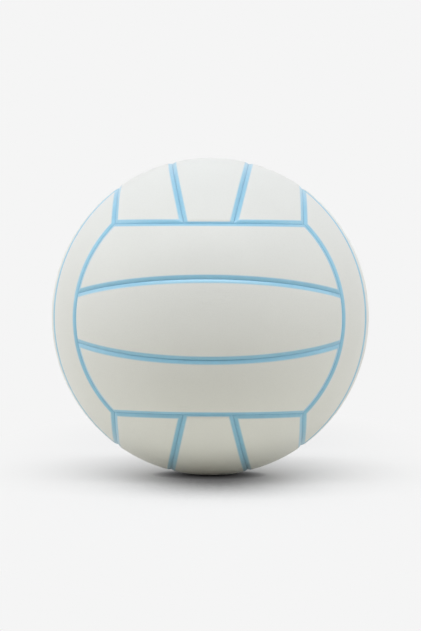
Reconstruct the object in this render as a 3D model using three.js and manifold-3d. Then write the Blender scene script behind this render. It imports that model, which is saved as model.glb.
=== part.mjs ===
import * as THREE from 'three';
import { mergeVertices } from 'three/addons/utils/BufferGeometryUtils.js';
import Module from 'manifold-3d';

// A size 5 indoor volleyball of the sewn kind: six faces of three strips each, cut from foam-backed
// synthetic leather and drawn over a rubber bladder. Millimetres, +Z up, the ball's centre at the origin.
// The front face looks along -Y, and the valve is in the middle of the back face.

// Ball
const ballDiameter = 210; // 66 cm round
const clearance = 0.3; // between neighbours that touch on the real ball

// Cover: the skin's edges are folded in to be sewn, and a pad of foam fills each folded tray
const coverThickness = 1;
const foamThickness = 3.9;
const middleStripWidth = 51.4; // over the surface, half way along
const middleStripEndWidth = 31.6; // over the surface, at either end

// Seams
const grooveWidth = 5; // both slopes together
const grooveDepth = 0.8;
const threadWidth = 1;
const threadThickness = 0.7;

// Bladder
const bladderWall = 0.7;

// Valve
const valveNeckDiameter = 7.6;
const valveRecess = 0.5; // from the cover's surface to the neck's face
const valveLength = 20;
const valveBossWall = 2.4; // rubber around the core inside the bladder
const valveBaseDiameter = 24;
const valveBaseThickness = 1.6;
const valveBaseRim = 0.8;
const coreDiameter = 4;
const coreRecess = 0.4; // from the neck's face to the core's face
const coreTail = 1.5; // how far the core ends short of the boss
const coreCollarDiameter = 5.6;
const coreCollarThickness = 2;
const coreCollarDepth = 11; // from the core's face to the collar
const needleDiameter = 1.2;
const needleDepth = 8;
const needleMouthDiameter = 2;
const needleMouthDepth = 0.8;
const patchDiameter = 28;
const patchThickness = 0.8;

// Facets
const alongCells = 10; // along a strip
const acrossCells = 4; // across a strip
const roundSides = 24; // around the bladder and the valve
const bladderSteps = 12; // from the valve's base to the far side of the bladder
const mergeDistance = 1e-4; // corners closer than this are one corner

const ballRadius = ballDiameter / 2;

// Pattern on the unit sphere. A face's own axes are x along its strips, y out through its middle, and
// z across its strips. Each seam between two faces lies in a plane at this level from the centre.
const faceLevel = 1 / Math.sqrt(3);
const faceSeamRadius = Math.sqrt(1 - faceLevel ** 2);

// A seam inside a face lies in the plane z = offset + slope * y.
const middleHalfWidth = Math.sin(middleStripWidth / 2 / ballRadius);
const endHalfWidth = faceSeamRadius * Math.sin(middleStripEndWidth / 2 / (ballRadius * faceSeamRadius));
const innerSlope = (middleHalfWidth - endHalfWidth) / (Math.sqrt(1 - middleHalfWidth ** 2) - faceLevel);
const innerOffset = endHalfWidth - innerSlope * faceLevel;
const faceSeams = [
  { offset: -faceLevel, slope: 0 },
  { offset: -innerOffset, slope: -innerSlope },
  { offset: innerOffset, slope: innerSlope },
  { offset: faceLevel, slope: 0 },
];

// Layers, as distances from the centre
const coverInner = ballRadius - coverThickness;
const foamOuter = coverInner - clearance;
const foamInner = foamOuter - foamThickness;
const threadOuter = foamInner + threadThickness;
const foldInner = threadOuter + clearance;

// A pad's flat facets sag below its curve, by half a cell each way, and the bladder stays clear of them.
const outerStripEndAngle = faceSeamRadius * (Math.PI / 4 - Math.asin(endHalfWidth / faceSeamRadius));
const widestStripAngle = Math.max(middleStripWidth / ballRadius, outerStripEndAngle);
const alongCell = 2 * Math.acos(faceLevel) / alongCells;
const acrossCell = widestStripAngle / acrossCells;
const facetSag = foamInner * (2 - Math.cos(alongCell / 2) - Math.cos(acrossCell / 2));
const bladderOuter = foamInner - facetSag - clearance;
const bladderInner = bladderOuter - bladderWall;

const outAxis = new THREE.Vector3(0, 1, 0);

function seamNormal(seam) {
  return new THREE.Vector3(0, -seam.slope, 1).normalize();
}

// The point of a seam on the unit sphere, with place from -1 at one end of the face to 1 at the other.
function seamPoint(seam, place) {
  const endAcross = seam.offset + seam.slope * faceLevel;
  const endAlong = Math.sqrt(1 - faceLevel ** 2 - endAcross ** 2);
  const angle = place * Math.atan2(endAlong, faceLevel);
  const rise = seam.slope * Math.cos(angle);
  const a = 1 + rise ** 2;
  const b = seam.offset * rise;
  const reach = (-b + Math.sqrt(b ** 2 - a * (seam.offset ** 2 - 1))) / a;
  return new THREE.Vector3(reach * Math.sin(angle), reach * Math.cos(angle), seam.offset + rise * reach);
}

// The direction over the sphere, at a point of it, that leads most directly along a given axis.
function overSurface(point, axis) {
  return axis.clone().addScaledVector(point, -axis.dot(point)).normalize();
}

// A point moved over the sphere, away from the edges that it lies on, by a distance in millimetres.
function movedInward(point, inwardAxes, distance) {
  if (inwardAxes.length === 0) {
    return point;
  }
  const steps = inwardAxes.map((axis) => overSurface(point, axis));
  const step = steps[0].clone();
  if (steps.length === 2) {
    step.add(steps[1]).divideScalar(1 + steps[0].dot(steps[1]));
  }
  return point.clone().addScaledVector(step, distance / ballRadius).normalize();
}

// A strip's net of points at one distance from the centre, with its edges drawn in.
function stripNet(lowerSeam, upperSeam, inset, level) {
  const net = [];
  for (let i = 0; i <= alongCells; i++) {
    const row = [];
    for (let j = 0; j <= acrossCells; j++) {
      const share = j / acrossCells;
      const seam = {
        offset: THREE.MathUtils.lerp(lowerSeam.offset, upperSeam.offset, share),
        slope: THREE.MathUtils.lerp(lowerSeam.slope, upperSeam.slope, share),
      };
      const inwardAxes = [];
      if (i === 0 || i === alongCells) {
        inwardAxes.push(outAxis);
      }
      if (j === 0) {
        inwardAxes.push(seamNormal(lowerSeam));
      }
      if (j === acrossCells) {
        inwardAxes.push(seamNormal(upperSeam).negate());
      }
      const point = seamPoint(seam, 2 * i / alongCells - 1);
      row.push(movedInward(point, inwardAxes, inset).clone().multiplyScalar(level));
    }
    net.push(row);
  }
  return net;
}

// The points around a net's edge, anticlockwise as seen from outside the ball.
function netEdge(net) {
  const edge = [];
  for (let j = 0; j < acrossCells; j++) {
    edge.push(net[0][j]);
  }
  for (let i = 0; i < alongCells; i++) {
    edge.push(net[i][acrossCells]);
  }
  for (let j = acrossCells; j > 0; j--) {
    edge.push(net[alongCells][j]);
  }
  for (let i = alongCells; i > 0; i--) {
    edge.push(net[i][0]);
  }
  return edge;
}

function geometryOf(triangles) {
  const geometry = new THREE.BufferGeometry().setFromPoints(triangles);
  geometry.computeVertexNormals();
  return geometry;
}

function addQuad(triangles, a, b, c, d) {
  triangles.push(a, b, c, a, c, d);
}

// A closed piece from an outer and an inner net, joined around their edges through the rings between.
function pieceBetween(outerNet, rings, innerNet) {
  const triangles = [];
  for (let i = 0; i < alongCells; i++) {
    for (let j = 0; j < acrossCells; j++) {
      addQuad(triangles, outerNet[i][j], outerNet[i][j + 1], outerNet[i + 1][j + 1], outerNet[i + 1][j]);
      addQuad(triangles, innerNet[i][j], innerNet[i + 1][j], innerNet[i + 1][j + 1], innerNet[i][j + 1]);
    }
  }
  const levels = [netEdge(outerNet), ...rings, netEdge(innerNet)];
  for (let k = 0; k < levels.length - 1; k++) {
    const upper = levels[k];
    const lower = levels[k + 1];
    upper.forEach((point, m) => {
      const next = (m + 1) % upper.length;
      addQuad(triangles, point, lower[m], lower[next], upper[next]);
    });
  }
  return geometryOf(triangles);
}

// A cover panel is a curved tray: its skin slopes down at the groove and folds in along the seam.
function coverGeometry(lowerSeam, upperSeam) {
  const outside = clearance / 2;
  const inside = outside + coverThickness;
  return pieceBetween(
    stripNet(lowerSeam, upperSeam, grooveWidth / 2, ballRadius),
    [
      netEdge(stripNet(lowerSeam, upperSeam, outside, ballRadius - grooveDepth)),
      netEdge(stripNet(lowerSeam, upperSeam, outside, foldInner)),
      netEdge(stripNet(lowerSeam, upperSeam, inside, foldInner)),
    ],
    stripNet(lowerSeam, upperSeam, inside, coverInner),
  );
}

// A foam pad fills its cover panel's tray and bears on the bladder.
function foamGeometry(lowerSeam, upperSeam) {
  const inset = clearance / 2 + coverThickness + clearance;
  return pieceBetween(
    stripNet(lowerSeam, upperSeam, inset, foamOuter),
    [],
    stripNet(lowerSeam, upperSeam, inset, foamInner),
  );
}

// The thread's four corners at a point of a seam, from its left and its right as it runs.
function threadRing(point, leftAxis) {
  const left = movedInward(point, [leftAxis], threadWidth / 2);
  const right = movedInward(point, [leftAxis.clone().negate()], threadWidth / 2);
  return [
    left.clone().multiplyScalar(threadOuter),
    right.clone().multiplyScalar(threadOuter),
    right.clone().multiplyScalar(foamInner),
    left.clone().multiplyScalar(foamInner),
  ];
}

function addThreadRun(triangles, rings, isOpen = () => false) {
  for (let k = 0; k < rings.length - 1; k++) {
    for (let m = 0; m < 4; m++) {
      const next = (m + 1) % 4;
      if (!isOpen(k, m)) {
        addQuad(triangles, rings[k][m], rings[k][next], rings[k + 1][next], rings[k + 1][m]);
      }
    }
  }
}

// Places around a face's end seam, as angles: its corners, the cells of its strips, and a pair of
// places for each seam that meets it, one on either side of that seam's thread.
function endSeamPlaces() {
  const halfThread = threadWidth / 2 / (ballRadius * faceSeamRadius);
  // three threads meet at 120 degrees, and each stops short of the lines half way between them
  const cornerGap = (clearance + threadWidth / 2) / 2 / Math.sin(Math.PI / 3) / (ballRadius * faceSeamRadius);
  const ends = faceSeams.map((seam) => seam.offset + seam.slope * faceLevel);
  const places = [];
  const meetings = [];
  for (let strip = 0; strip < 3; strip++) {
    for (let j = 0; j < acrossCells; j++) {
      const across = THREE.MathUtils.lerp(ends[strip], ends[strip + 1], j / acrossCells);
      const angle = Math.asin(across / faceSeamRadius);
      if (j > 0) {
        places.push(angle);
      } else if (strip === 0) {
        places.push(angle + cornerGap);
      } else {
        meetings.push(places.length);
        places.push(angle - halfThread, angle + halfThread);
      }
    }
  }
  places.push(-places[0]);
  return { places, meetings };
}

// The thread of one face: the seams at its two ends, with its two inner seams run between them.
function threadGeometry() {
  const triangles = [];
  const { places, meetings } = endSeamPlaces();
  const ends = [-1, 1].map((side) => places.map((angle) => {
    const along = side * faceSeamRadius * Math.cos(angle);
    const point = new THREE.Vector3(along, faceLevel, faceSeamRadius * Math.sin(angle));
    return threadRing(point, outAxis.clone().multiplyScalar(-side));
  }));
  ends.forEach((rings, end) => {
    const openFace = end === 0 ? 3 : 1;
    addThreadRun(triangles, rings, (k, m) => m === openFace && meetings.includes(k));
    const first = rings[0];
    const last = rings[rings.length - 1];
    addQuad(triangles, first[0], first[3], first[2], first[1]);
    addQuad(triangles, last[0], last[1], last[2], last[3]);
  });
  meetings.forEach((k, inner) => {
    const seam = faceSeams[inner + 1];
    const [start, finish] = ends;
    const rings = [[start[k][0], start[k + 1][0], start[k + 1][3], start[k][3]]];
    for (let i = 1; i < alongCells; i++) {
      rings.push(threadRing(seamPoint(seam, 2 * i / alongCells - 1), seamNormal(seam).negate()));
    }
    rings.push([finish[k][1], finish[k + 1][1], finish[k + 1][2], finish[k][2]]);
    addThreadRun(triangles, rings);
  });
  return geometryOf(triangles);
}

// A point of a profile at a distance from the ball's centre and from the valve's axis
function onSphere(level, fromAxis) {
  return new THREE.Vector2(fromAxis, Math.sqrt(level ** 2 - fromAxis ** 2));
}

function revolved(profile) {
  return new THREE.LatheGeometry(profile, roundSides);
}

const neckRadius = valveNeckDiameter / 2;
const valveHoleRadius = neckRadius + clearance;
const valveBaseRadius = valveBaseDiameter / 2;
const patchRadius = patchDiameter / 2;
const patchInner = bladderOuter + clearance;
const patchOuter = patchInner + patchThickness;
const valveFace = ballRadius - valveRecess;
const coreFace = valveFace - coreRecess;
const coreRadius = coreDiameter / 2;
const collarRadius = coreCollarDiameter / 2;
const collarTop = coreFace - coreCollarDepth;
const collarBottom = collarTop - coreCollarThickness;

// The bladder's skin, from the far side round to the valve's hole and back on the inside
function bladderGeometry() {
  const profile = [];
  const baseAngle = Math.asin(valveBaseRadius / bladderInner);
  for (let k = 0; k <= bladderSteps; k++) {
    const angle = THREE.MathUtils.lerp(Math.PI, baseAngle, k / bladderSteps);
    profile.push(new THREE.Vector2(Math.sin(angle), Math.cos(angle)));
  }
  const outer = profile.map((point) => point.clone().multiplyScalar(bladderOuter));
  const inner = profile.map((point) => point.clone().multiplyScalar(bladderInner)).reverse();
  const rim = [onSphere(bladderOuter, valveHoleRadius), onSphere(bladderInner, valveHoleRadius)];
  return revolved([...outer, ...rim, ...inner]);
}

// The housing's base lies against the bladder from inside, and its neck comes out through the cover.
function valveHousingGeometry() {
  const boreRadius = coreRadius + clearance;
  const bossRadius = coreRadius + clearance + valveBossWall;
  const baseOuter = bladderInner - clearance;
  const bottom = valveFace - valveLength;
  return revolved([
    new THREE.Vector2(boreRadius, bottom),
    new THREE.Vector2(bossRadius, bottom),
    onSphere(baseOuter - valveBaseThickness, bossRadius),
    onSphere(baseOuter - valveBaseRim, valveBaseRadius),
    onSphere(baseOuter, valveBaseRadius),
    onSphere(baseOuter, neckRadius),
    new THREE.Vector2(neckRadius, valveFace),
    new THREE.Vector2(boreRadius, valveFace),
    new THREE.Vector2(boreRadius, collarTop + clearance),
    new THREE.Vector2(collarRadius + clearance, collarTop + clearance),
    new THREE.Vector2(collarRadius + clearance, collarBottom - clearance),
    new THREE.Vector2(boreRadius, collarBottom - clearance),
    new THREE.Vector2(boreRadius, bottom),
  ]);
}

// The core is a soft plug with a blind lead-in. The needle parts the rubber below it, which closes again.
function valveCoreGeometry() {
  const tail = valveFace - valveLength + coreTail;
  return revolved([
    new THREE.Vector2(0, tail),
    new THREE.Vector2(coreRadius, tail),
    new THREE.Vector2(coreRadius, collarBottom),
    new THREE.Vector2(collarRadius, collarBottom),
    new THREE.Vector2(collarRadius, collarTop),
    new THREE.Vector2(coreRadius, collarTop),
    new THREE.Vector2(coreRadius, coreFace),
    new THREE.Vector2(needleMouthDiameter / 2, coreFace),
    new THREE.Vector2(needleDiameter / 2, coreFace - needleMouthDepth),
    new THREE.Vector2(needleDiameter / 2, coreFace - needleDepth),
    new THREE.Vector2(0, coreFace - needleDepth),
  ]);
}

function valvePatchGeometry() {
  const middle = (valveHoleRadius + patchRadius) / 2;
  return revolved([
    onSphere(patchInner, valveHoleRadius),
    onSphere(patchInner, middle),
    onSphere(patchInner, patchRadius),
    onSphere(patchOuter, patchRadius),
    onSphere(patchOuter, middle),
    onSphere(patchOuter, valveHoleRadius),
    onSphere(patchInner, valveHoleRadius),
  ]);
}

// What the valve takes out of the back face's middle strip: a hole for its neck, and below the foam's
// inner face a shallow seat for the patch.
function valveCutterGeometry() {
  const seatLevel = patchOuter + clearance;
  const seatRadius = patchRadius + clearance;
  const below = bladderInner - seatRadius;
  return revolved([
    new THREE.Vector2(0, below),
    new THREE.Vector2(seatRadius, below),
    onSphere(seatLevel, seatRadius),
    onSphere(seatLevel, (valveHoleRadius + seatRadius) / 2),
    onSphere(seatLevel, valveHoleRadius),
    new THREE.Vector2(valveHoleRadius, ballRadius + coverThickness),
    new THREE.Vector2(0, ballRadius + coverThickness),
  ]);
}

const wasm = await Module();
wasm.setup();

function solidOf(geometry) {
  const positionsOnly = geometry.clone();
  positionsOnly.deleteAttribute('normal');
  positionsOnly.deleteAttribute('uv');
  const merged = mergeVertices(positionsOnly, mergeDistance);
  return new wasm.Manifold(new wasm.Mesh({
    numProp: 3,
    vertProperties: new Float32Array(merged.attributes.position.array),
    triVerts: new Uint32Array(merged.index.array),
  }));
}

function cutForValve(geometry) {
  const mesh = solidOf(geometry).subtract(solidOf(valveCutterGeometry())).getMesh();
  const cut = new THREE.BufferGeometry();
  cut.setAttribute('position', new THREE.BufferAttribute(mesh.vertProperties, 3));
  cut.setIndex(new THREE.BufferAttribute(mesh.triVerts, 1));
  const flat = cut.toNonIndexed();
  flat.computeVertexNormals();
  return flat;
}

const coverMaterial = new THREE.MeshStandardMaterial({ color: 0xe3e6e3, roughness: 0.6, metalness: 0 });
const foamMaterial = new THREE.MeshStandardMaterial({ color: 0xd9d3bd, roughness: 0.95, metalness: 0 });
const threadMaterial = new THREE.MeshStandardMaterial({ color: 0x7fa6c4, roughness: 0.8, metalness: 0 });
const bladderMaterial = new THREE.MeshStandardMaterial({ color: 0x1d1d1f, roughness: 0.7, metalness: 0 });
const patchMaterial = new THREE.MeshStandardMaterial({ color: 0x3a3a3c, roughness: 0.85, metalness: 0 });
const valveMaterial = new THREE.MeshStandardMaterial({ color: 0x2a2b2d, roughness: 0.6, metalness: 0 });
const coreMaterial = new THREE.MeshStandardMaterial({ color: 0x8f9296, roughness: 0.6, metalness: 0 });

const faces = [
  { name: 'front', out: [0, -1, 0], across: [0, 0, 1], strips: ['lower', 'middle', 'upper'] },
  { name: 'back', out: [0, 1, 0], across: [0, 0, 1], strips: ['lower', 'middle', 'upper'] },
  { name: 'left', out: [-1, 0, 0], across: [0, 1, 0], strips: ['front', 'middle', 'back'] },
  { name: 'right', out: [1, 0, 0], across: [0, 1, 0], strips: ['front', 'middle', 'back'] },
  { name: 'top', out: [0, 0, 1], across: [1, 0, 0], strips: ['left', 'middle', 'right'] },
  { name: 'bottom', out: [0, 0, -1], across: [1, 0, 0], strips: ['left', 'middle', 'right'] },
];
const valvedStrip = 'back_middle';

function addPiece(group, name, geometry, material) {
  const piece = new THREE.Mesh(geometry, material);
  piece.name = name;
  group.add(piece);
}

function faceGroup(face, coverGeometries, foamGeometries, thread) {
  const group = new THREE.Group();
  const out = new THREE.Vector3(...face.out);
  const across = new THREE.Vector3(...face.across);
  const along = out.clone().cross(across);
  group.setRotationFromMatrix(new THREE.Matrix4().makeBasis(along, out, across));
  face.strips.forEach((strip, k) => {
    const place = `${face.name}_${strip}`;
    const fitted = place === valvedStrip ? cutForValve : (geometry) => geometry;
    addPiece(group, `cover_${place}`, fitted(coverGeometries[k]), coverMaterial);
    addPiece(group, `foam_${place}`, fitted(foamGeometries[k]), foamMaterial);
  });
  addPiece(group, `thread_${face.name}`, thread, threadMaterial);
  return group;
}

function buildVolleyball() {
  const ball = new THREE.Group();
  const coverGeometries = [0, 1, 2].map((k) => coverGeometry(faceSeams[k], faceSeams[k + 1]));
  const foamGeometries = [0, 1, 2].map((k) => foamGeometry(faceSeams[k], faceSeams[k + 1]));
  const thread = threadGeometry();
  faces.forEach((face) => ball.add(faceGroup(face, coverGeometries, foamGeometries, thread)));
  addPiece(ball, 'bladder', bladderGeometry(), bladderMaterial);
  addPiece(ball, 'valve_patch', valvePatchGeometry(), patchMaterial);
  addPiece(ball, 'valve_housing', valveHousingGeometry(), valveMaterial);
  addPiece(ball, 'valve_core', valveCoreGeometry(), coreMaterial);
  return ball;
}

export default buildVolleyball();
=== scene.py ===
import math

import bmesh
import bpy
import numpy as np
from mathutils import Matrix, Vector


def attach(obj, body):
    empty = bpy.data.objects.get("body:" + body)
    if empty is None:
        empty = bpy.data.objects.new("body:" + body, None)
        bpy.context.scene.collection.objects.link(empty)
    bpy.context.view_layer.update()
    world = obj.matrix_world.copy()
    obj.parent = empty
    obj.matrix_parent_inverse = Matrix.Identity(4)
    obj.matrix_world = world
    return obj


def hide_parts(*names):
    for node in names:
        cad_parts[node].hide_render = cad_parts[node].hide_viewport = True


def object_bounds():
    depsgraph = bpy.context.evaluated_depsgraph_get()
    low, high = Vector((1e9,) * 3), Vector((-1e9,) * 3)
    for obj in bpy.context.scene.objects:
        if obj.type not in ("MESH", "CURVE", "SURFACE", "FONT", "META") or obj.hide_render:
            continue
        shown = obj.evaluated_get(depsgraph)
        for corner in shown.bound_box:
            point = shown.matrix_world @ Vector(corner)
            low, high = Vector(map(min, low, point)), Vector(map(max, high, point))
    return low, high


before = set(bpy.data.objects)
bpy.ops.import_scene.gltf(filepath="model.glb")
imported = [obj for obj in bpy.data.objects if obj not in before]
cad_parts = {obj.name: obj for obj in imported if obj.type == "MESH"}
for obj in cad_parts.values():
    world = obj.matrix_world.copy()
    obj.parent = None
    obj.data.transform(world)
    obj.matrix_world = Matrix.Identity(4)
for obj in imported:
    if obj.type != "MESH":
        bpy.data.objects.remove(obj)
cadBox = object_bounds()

# A sewn indoor volleyball in metres. The centre is the origin, the front face looks along -Y,
# and the valve is in the middle of the back face.

ball = {
    "radius": (cadBox[1].x - cadBox[0].x) / 2,
    "middleWidth": 0.0514,     # a middle strip, half way along
    "middleEndWidth": 0.0316,  # a middle strip, at either end
}


# Camera
photo = {
    "size": (421, 631),
    "ballCentre": (210.3, 316.6),  # pixels, from the top left
    "ballRadius": 158.5,           # pixels
    "distance": 1.554,             # from the camera to the ball's centre
    "azimuth": 0.8,                # degrees
    "elevation": 1.1,
    "roll": 0.23,
    "sensor": 36,                  # millimetres, along the picture's long side
    "clip": (0.05, 50),
}


def makeCamera():
    width, height = photo["size"]
    away = photo["distance"] / ball["radius"]
    focalPixels = photo["ballRadius"] * math.sqrt(away**2 - 1)
    data = bpy.data.cameras.new("camera")
    data.sensor_width = photo["sensor"]
    data.lens = photo["sensor"] * focalPixels / height
    data.shift_x = (width / 2 - photo["ballCentre"][0]) / height
    data.shift_y = (photo["ballCentre"][1] - height / 2) / height
    data.clip_start, data.clip_end = photo["clip"]
    camera = bpy.data.objects.new("camera", data)
    bpy.context.scene.collection.objects.link(camera)
    azimuth, elevation, roll = (math.radians(photo[k]) for k in ("azimuth", "elevation", "roll"))
    turn = Matrix.Rotation(azimuth, 4, "Z") @ Matrix.Rotation(math.pi / 2 - elevation, 4, "X")
    turn = turn @ Matrix.Rotation(roll, 4, "Z")
    camera.matrix_world = turn @ Matrix.Translation((0, 0, photo["distance"]))
    bpy.context.scene.camera = camera


makeCamera()
print("camera: ready")


# Node helpers
nodeStep = (170, 240)  # how far apart nodes stand in the editor
nodesInRow = 12
black = (0, 0, 0, 1)


# Another node's output is linked to a socket, and anything else is set on it
def feed(tree, socket, value):
    if isinstance(value, bpy.types.NodeSocket):
        tree.links.new(value, socket)
    else:
        socket.default_value = value


def addNode(tree, kind, inputs=None, **settings):
    made = tree.nodes.new("ShaderNode" + kind)
    row, column = divmod(len(tree.nodes), nodesInRow)
    made.location = (nodeStep[0] * column, -nodeStep[1] * row)
    for name, value in settings.items():
        setattr(made, name, value)
    for name, value in (inputs or {}).items():
        feed(tree, made.inputs[name], value)
    return made


def mathNode(tree, operation, first, second=0.0, clamp=False):
    return addNode(tree, "Math", {0: first, 1: second}, operation=operation, use_clamp=clamp).outputs[0]


def vectorNode(tree, operation, first, second):
    return addNode(tree, "VectorMath", {0: first, 1: second}, operation=operation).outputs[0]


def noiseNode(tree, place, scale, **inputs):
    return addNode(tree, "TexNoise", {"Vector": place, "Scale": scale, **inputs})


def spread(tree, value, low, high, toLow=0.0, toHigh=1.0, smooth=False):
    kind = "SMOOTHSTEP" if smooth else "LINEAR"
    ends = {"From Min": low, "From Max": high, "To Min": toLow, "To Max": toHigh}
    return addNode(tree, "MapRange", {"Value": value, **ends}, interpolation_type=kind).outputs["Result"]


def mixColours(tree, factor, first, second, blend="MIX"):
    inputs = {0: factor, 6: first, 7: second}  # the node's colour sockets among those for other types
    return addNode(tree, "Mix", inputs, data_type="RGBA", blend_type=blend).outputs[2]


def mixShaders(tree, factor, first, second):
    return addNode(tree, "MixShader", {0: factor, 1: first.outputs[0], 2: second.outputs[0]})


def attribute(tree, name):
    return addNode(tree, "Attribute", attribute_type="GEOMETRY", attribute_name=name).outputs["Fac"]


def objectPlace(tree):
    return addNode(tree, "TexCoord").outputs["Object"]


def newGroup(name, inputs, outputs):
    tree = bpy.data.node_groups.new(name, "ShaderNodeTree")
    for label, value in inputs.items():
        socket = tree.interface.new_socket(name=label, in_out="INPUT", socket_type="NodeSocketFloat")
        socket.default_value = value
    for label in outputs:
        tree.interface.new_socket(name=label, in_out="OUTPUT", socket_type="NodeSocketFloat")
    return tree, tree.nodes.new("NodeGroupInput").outputs, tree.nodes.new("NodeGroupOutput").inputs


def useGroup(tree, group, inputs):
    return addNode(tree, "Group", inputs, node_tree=group).outputs


def newMaterial(name):
    made = bpy.data.materials.new(name)
    made.use_nodes = True
    made.node_tree.nodes.clear()
    return made, made.node_tree


def newFinish(name, values):
    made, tree = newMaterial(name)
    shader = addNode(tree, "BsdfPrincipled", values)
    addNode(tree, "OutputMaterial", {"Surface": shader.outputs[0]})
    return made, tree, shader.inputs


def makeBump(tree, height, depth):
    return addNode(tree, "Bump", {"Height": height, "Distance": depth}).outputs[0]


# Effects that several finishes share.
# Fine pebbled grain, as pressed into synthetic leather and moulded rubber. Size is a pebble's width.
pebbles = {
    "softness": 0.35,
    "slope": (0.1, 0.75),  # from a pebble's middle, in pebbles
    "finer": 4.0,          # a second grain over the first
    "finerHeight": 0.25,
    "pitHeight": 0.35,     # what lies lower is a pit
}


def makeGrainGroup():
    tree, given, out = newGroup("fineGrain", {"Size": 0.0006, "Wander": 0.5}, ("Height", "Pits"))
    place = objectPlace(tree)
    scale = mathNode(tree, "DIVIDE", 1.0, given["Size"])
    drift = noiseNode(tree, place, scale, Detail=1.0).outputs["Color"]
    push = vectorNode(tree, "SUBTRACT", drift, (0.5, 0.5, 0.5))
    reach = mathNode(tree, "MULTIPLY", given["Size"], given["Wander"])
    shift = addNode(tree, "VectorMath", {0: push, 3: reach}, operation="SCALE").outputs[0]
    moved = vectorNode(tree, "ADD", place, shift)
    inputs = {"Vector": moved, "Scale": scale, "Smoothness": pebbles["softness"]}
    fromMiddle = addNode(tree, "TexVoronoi", inputs, feature="SMOOTH_F1").outputs["Distance"]
    pebble = spread(tree, fromMiddle, *pebbles["slope"], 1.0, 0.0, smooth=True)
    finer = noiseNode(tree, place, mathNode(tree, "MULTIPLY", scale, pebbles["finer"])).outputs["Fac"]
    height = mathNode(tree, "ADD", pebble, mathNode(tree, "MULTIPLY", finer, pebbles["finerHeight"]))
    feed(tree, out["Height"], height)
    feed(tree, out["Pits"], spread(tree, pebble, pebbles["pitHeight"], 0.0, smooth=True))
    return tree


# Slow, faint change of tone over a surface, around 1
def makeToneGroup():
    tree, given, out = newGroup("slowTone", {"Size": 0.03, "Amount": 0.03}, ("Tone",))
    scale = mathNode(tree, "DIVIDE", 1.0, given["Size"])
    cloud = noiseNode(tree, objectPlace(tree), scale, Detail=3.0, Roughness=0.55).outputs["Fac"]
    swing = mathNode(tree, "MULTIPLY", mathNode(tree, "SUBTRACT", cloud, 0.5), given["Amount"])
    feed(tree, out["Tone"], mathNode(tree, "ADD", swing, 1.0))
    return tree


# Faint rubs and fingermarks: thin patches where two noises meet
rubMarks = {
    "patchLimit": 0.72,             # no patches at a share of 0
    "patchSpread": 0.35,            # how far a share of 1 lowers that limit
    "patchEdge": 7.0,               # how sharply a patch ends
    "streakStretch": (1.0, 2.6, 5.0),
    "streakTurn": (0.4, 0.7, 0.2),
    "streakFiner": 5.0,
    "streaks": (0.45, 0.7),         # where in their noise they start, and are full
}


def makeRubsGroup():
    tree, given, out = newGroup("handRubs", {"Size": 0.02, "Share": 0.3}, ("Mask",))
    place = objectPlace(tree)
    scale = mathNode(tree, "DIVIDE", 1.0, given["Size"])
    patches = noiseNode(tree, place, scale, Detail=2.0).outputs["Fac"]
    lowered = mathNode(tree, "MULTIPLY", given["Share"], rubMarks["patchSpread"])
    past = mathNode(tree, "SUBTRACT", patches, mathNode(tree, "SUBTRACT", rubMarks["patchLimit"], lowered))
    patchMask = mathNode(tree, "MULTIPLY", past, rubMarks["patchEdge"], clamp=True)
    slant = {"Vector": place, "Scale": rubMarks["streakStretch"], "Rotation": rubMarks["streakTurn"]}
    slanted = addNode(tree, "Mapping", slant).outputs[0]
    streakScale = mathNode(tree, "MULTIPLY", scale, rubMarks["streakFiner"])
    streaks = noiseNode(tree, slanted, streakScale, Detail=4.0).outputs["Fac"]
    streakMask = spread(tree, streaks, *rubMarks["streaks"], smooth=True)
    feed(tree, out["Mask"], mathNode(tree, "MULTIPLY", patchMask, streakMask))
    return tree


# Plain weave from two directions measured over the surface, in threads
weave = {
    "ridgeHeight": 0.4,
    "crossingHeight": 0.3,
    "gaps": (0.7, 0.1),    # the ridges' height where a gap starts, and where it is full
}


def makeWeaveGroup():
    inputs = {"Along": 0.0, "Across": 0.0, "Pitch": 0.0005}
    tree, given, out = newGroup("plainWeave", inputs, ("Height", "Gaps"))
    waves = []
    for label in ("Along", "Across"):
        turns = mathNode(tree, "DIVIDE", given[label], given["Pitch"])
        waves.append(mathNode(tree, "SINE", mathNode(tree, "MULTIPLY", turns, math.pi)))
    ridges = mathNode(tree, "ADD", *(mathNode(tree, "ABSOLUTE", wave) for wave in waves))
    crossing = mathNode(tree, "MULTIPLY", mathNode(tree, "MULTIPLY", *waves), weave["crossingHeight"])
    height = mathNode(tree, "ADD", mathNode(tree, "MULTIPLY", ridges, weave["ridgeHeight"]), crossing)
    feed(tree, out["Height"], height)
    feed(tree, out["Gaps"], spread(tree, ridges, *weave["gaps"], smooth=True))
    return tree


grainGroup = makeGrainGroup()
toneGroup = makeToneGroup()
rubsGroup = makeRubsGroup()
weaveGroup = makeWeaveGroup()


def toned(tree, colour, size, amount):
    tone = useGroup(tree, toneGroup, {"Size": size, "Amount": amount})["Tone"]
    return mixColours(tree, 1.0, colour, tone, blend="MULTIPLY")


# The strips' layout. In a face's own axes, x runs along its strips, y out through its middle and z
# across them. Every seam between two faces lies in a plane at this share of the radius, and a seam
# inside a face lies in the plane z = offset + slope * y, all on a ball of radius 1.
seamLevel = 1 / math.sqrt(3)
seamCircle = math.sqrt(1 - seamLevel**2)
middleHalf = math.sin(ball["middleWidth"] / 2 / ball["radius"])
endHalf = seamCircle * math.sin(ball["middleEndWidth"] / 2 / (ball["radius"] * seamCircle))
innerSlope = (middleHalf - endHalf) / (math.sqrt(1 - middleHalf**2) - seamLevel)
innerOffset = endHalf - innerSlope * seamLevel
faceSeams = [(-seamLevel, 0.0), (-innerOffset, -innerSlope), (innerOffset, innerSlope), (seamLevel, 0.0)]

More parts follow.
